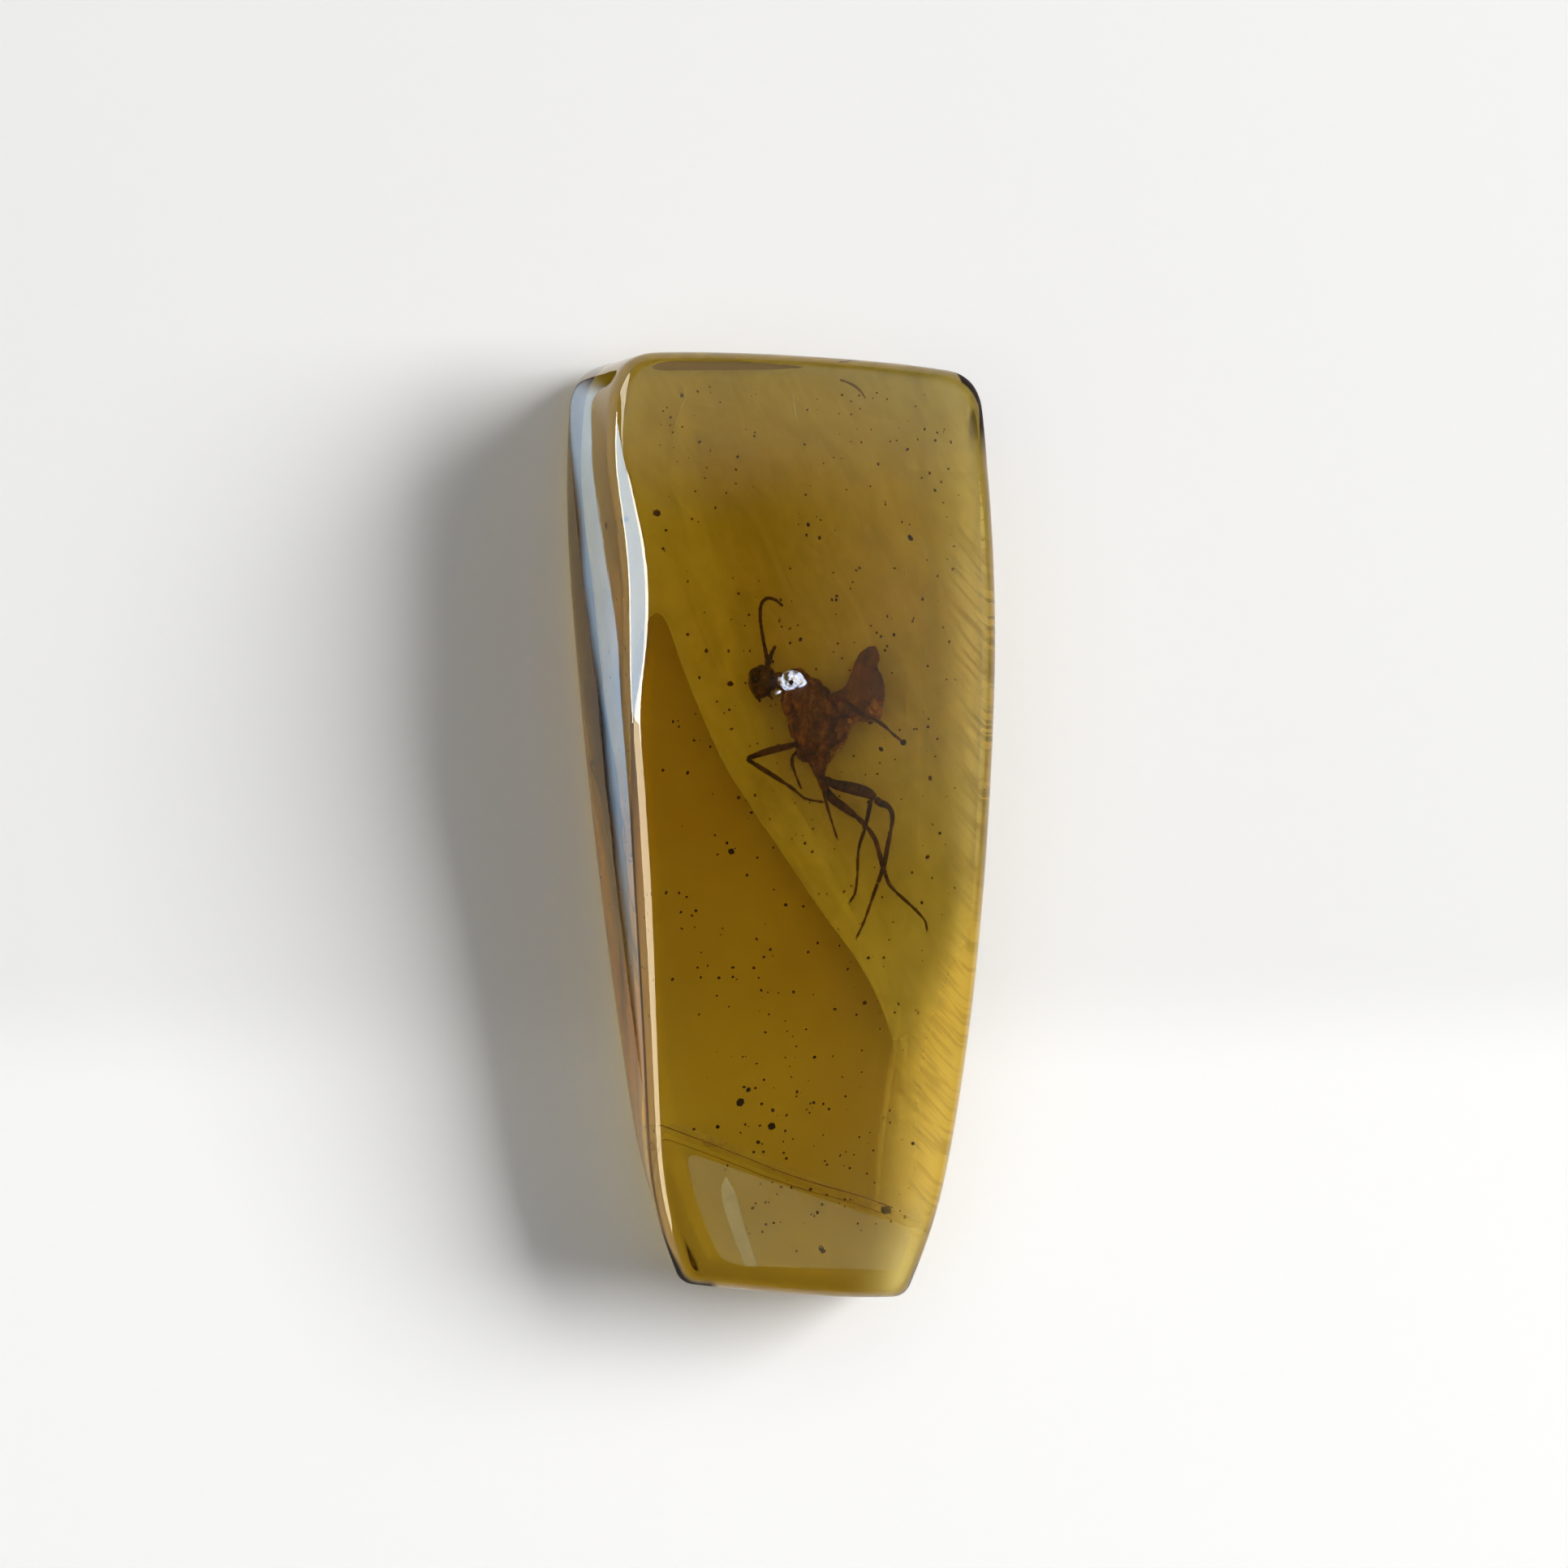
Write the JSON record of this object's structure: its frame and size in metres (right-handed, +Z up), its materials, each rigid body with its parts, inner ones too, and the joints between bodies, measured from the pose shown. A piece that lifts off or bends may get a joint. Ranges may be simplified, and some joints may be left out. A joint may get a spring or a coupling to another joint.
{
  "type": "insect in amber",
  "caption": "Polished, tapered tablet of clear amber with a dark wasp-like insect sealed inside.",
  "frame": {"origin": "middle of the tablet's plan, on the flat back it lies on", "axes": "+Y along the length towards the wide end, +X across to the low side, +Z up out of the polished front"},
  "size_m": [0.0121, 0.028, 0.007],
  "materials": {
    "amber": "polished",
    "insect": "satin"
  },
  "bodies": {
    "root": {"amber_front_half": "amber", "amber_back_half": "amber", "insect": "insect"}
  },
  "joints": []
}
